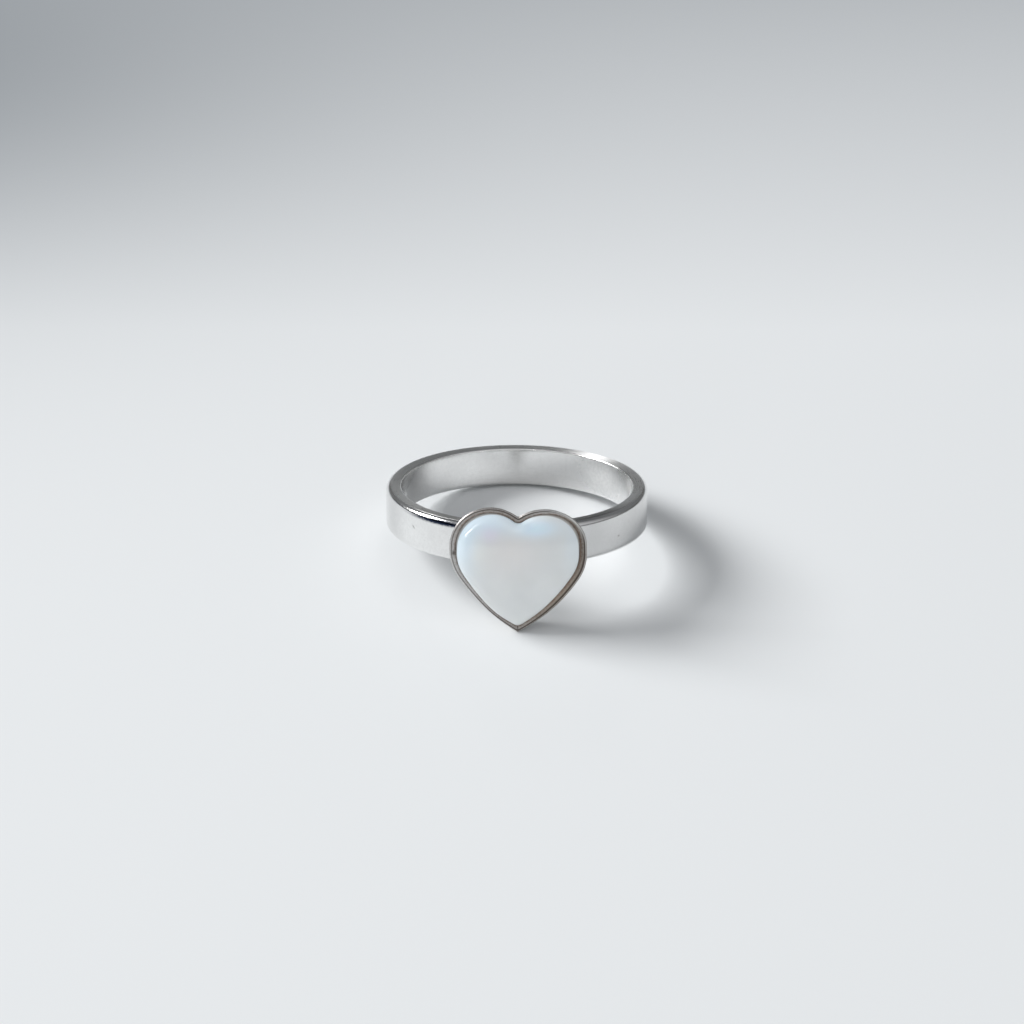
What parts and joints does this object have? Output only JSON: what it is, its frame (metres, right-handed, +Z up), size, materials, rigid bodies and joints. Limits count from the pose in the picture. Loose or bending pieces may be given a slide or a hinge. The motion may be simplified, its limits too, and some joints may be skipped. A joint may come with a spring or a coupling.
{
  "type": "ring",
  "caption": "Plain flat silver finger ring with a heart-shaped bezel and a milky white cabochon, lying on its side.",
  "frame": {"origin": "on the floor, under the middle of the box around the silver", "axes": "+Z up from the floor; -Y to the front, where the heart faces; the finger's axis leans 12.87 degrees from +Z towards +Y"},
  "size_m": [0.0196, 0.0219, 0.0093],
  "materials": {
    "silver": "satin polish, darker on the bezel's rim",
    "milky_stone": "polished, milky, with a faint blue sheen"
  },
  "bodies": {
    "root": {"band_with_bezel": "silver", "heart_stone": "milky_stone"}
  },
  "joints": []
}
